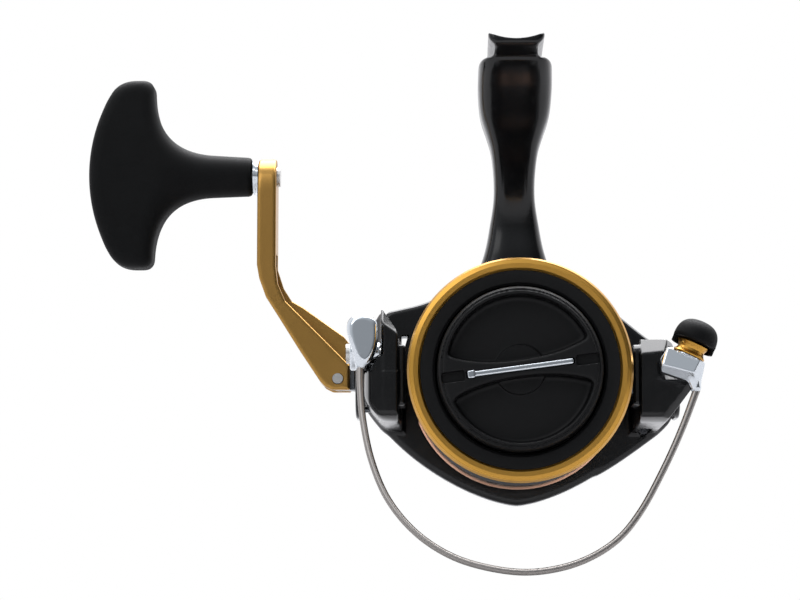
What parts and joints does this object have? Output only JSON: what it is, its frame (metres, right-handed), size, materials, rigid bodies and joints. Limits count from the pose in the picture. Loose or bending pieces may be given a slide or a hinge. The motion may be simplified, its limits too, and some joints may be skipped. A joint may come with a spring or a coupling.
{
  "type": "spinning reel",
  "caption": "Spinning fishing reel with a folding T-knob crank, spinning rotor and flip-over bail, reciprocating spool, front drag knob and a rod foot on a stem.",
  "frame": {"origin": "middle of the foot's saddle, at the bottom of its groove, where it rests on the rod seat", "axes": "+Z out of the saddle towards the rod, -Y the way the spool faces (towards the rod's tip), -X the crank's side"},
  "size_m": [0.1746, 0.1294, 0.1459],
  "materials": {
    "black_paint": "gloss black paint over cast metal",
    "black_gloss": "gloss black",
    "black_matte": "fine matte black",
    "soft_rubber": "soft-touch matte black",
    "gold": "gold anodised, machined",
    "rose_gold": "rose gold anodised",
    "chrome": "polished",
    "steel": "fine brushed",
    "dark_steel": "blued",
    "brass": "machined",
    "gear_alloy": "die-cast zinc, satin",
    "nylon": "natural nylon",
    "felt": "greased felt and steel discs"
  },
  "bodies": {
    "body": {"body_frame": "black_paint", "side_cover": "black_paint", "side_cover_screws": "steel", "rear_cover": "black_gloss", "rear_cover_screw": "steel", "handle_port_cap": "black_matte", "drive_gear_bearings": "steel", "pinion_bearing": "steel", "bearing_retainer": "steel", "one_way_clutch": "steel", "oscillation_axle": "steel", "slider_guide_rod": "steel"},
    "drive": {"drive_gear": "gear_alloy", "drive_shaft": "steel", "crank_spindle": "steel", "crank_hub": "dark_steel"},
    "oscillator": {"oscillation_gear": "nylon"},
    "rotor": {"pinion_gear": "brass", "clutch_sleeve": "steel", "rotor": "black_gloss", "rotor_nut": "steel", "arm_cover_left": "black_gloss", "arm_cover_right": "black_gloss", "arm_cover_screws": "dark_steel", "rotor_screw": "dark_steel", "bail_spring": "steel", "bail_pivot_screws": "steel"},
    "bail": {"bail_wire_holder": "chrome", "bail_arm": "black_gloss", "bail_wire": "steel", "wire_end_block": "chrome", "roller_cap": "black_matte", "roller_screw": "steel"},
    "roller": {"line_roller": "gold", "roller_bushing": "nylon"},
    "shaft": {"main_shaft": "steel", "oscillation_slider": "gear_alloy", "slider_screw": "steel", "spool_sleeve": "steel", "click_gear": "nylon"},
    "spool": {"spool": "black_gloss", "spool_lip_ring": "gold", "spool_front_insert": "black_matte", "spool_rear_ring": "rose_gold", "line_clip": "chrome", "click_pawl": "steel", "drag_washers": "felt", "drag_retaining_ring": "steel"},
    "drag_knob": {"drag_knob": "black_matte", "drag_knob_strip": "chrome", "drag_knob_nut": "brass", "drag_spring": "steel"},
    "crank": {"crank_arm": "gold", "hinge_pin": "steel", "knob_spindle": "steel", "knob_washer": "chrome"},
    "knob": {"handle_knob": "soft_rubber", "knob_bushing": "nylon"}
  },
  "joints": [
    {"name": "crank_turn", "type": "hinge", "parent": "body", "child": "drive", "pos_m": [0, 0.035, -0.0849], "axis": [-1, 0, 0], "continuous": true},
    {"name": "rotor_spin", "type": "hinge", "parent": "body", "child": "rotor", "pos_m": [0, 0, -0.0914], "axis": [0, 1, 0], "continuous": true},
    {"name": "oscillator_turn", "type": "hinge", "parent": "body", "child": "oscillator", "pos_m": [0.009, 0.05, -0.0934], "axis": [-1, 0, 0], "continuous": true},
    {"name": "shaft_slide", "type": "slide", "parent": "body", "child": "shaft", "axis": [0, -1, 0], "range_m": [-0.008, 0.008]},
    {"name": "spool_turn", "type": "hinge", "parent": "shaft", "child": "spool", "pos_m": [0, -0.035, -0.0914], "axis": [0, 1, 0], "continuous": true},
    {"name": "drag_knob_turn", "type": "hinge", "parent": "shaft", "child": "drag_knob", "pos_m": [0, -0.05, -0.0914], "axis": [0, 1, 0], "range_deg": [-180, 360]},
    {"name": "bail_open", "type": "hinge", "parent": "rotor", "child": "bail", "pos_m": [0, -0.035, -0.0854], "axis": [-1, 0, 0], "range_deg": [0, 90]},
    {"name": "roller_spin", "type": "hinge", "parent": "bail", "child": "roller", "pos_m": [0.0424, -0.048, -0.0898], "axis": [0.3987, 0, 0.9171], "continuous": true},
    {"name": "crank_fold", "type": "hinge", "parent": "drive", "child": "crank", "pos_m": [-0.0507, 0.035, -0.0862], "axis": [0, -1, 0], "range_deg": [0, 90]},
    {"name": "knob_spin", "type": "hinge", "parent": "crank", "child": "knob", "pos_m": [-0.095, 0.035, -0.0264], "axis": [1, 0, 0], "continuous": true}
  ],
  "couplings": [
    {"joint": "rotor_spin", "follows": "crank_turn", "ratio": 5},
    {"joint": "oscillator_turn", "follows": "crank_turn", "ratio": -0.5}
  ]
}
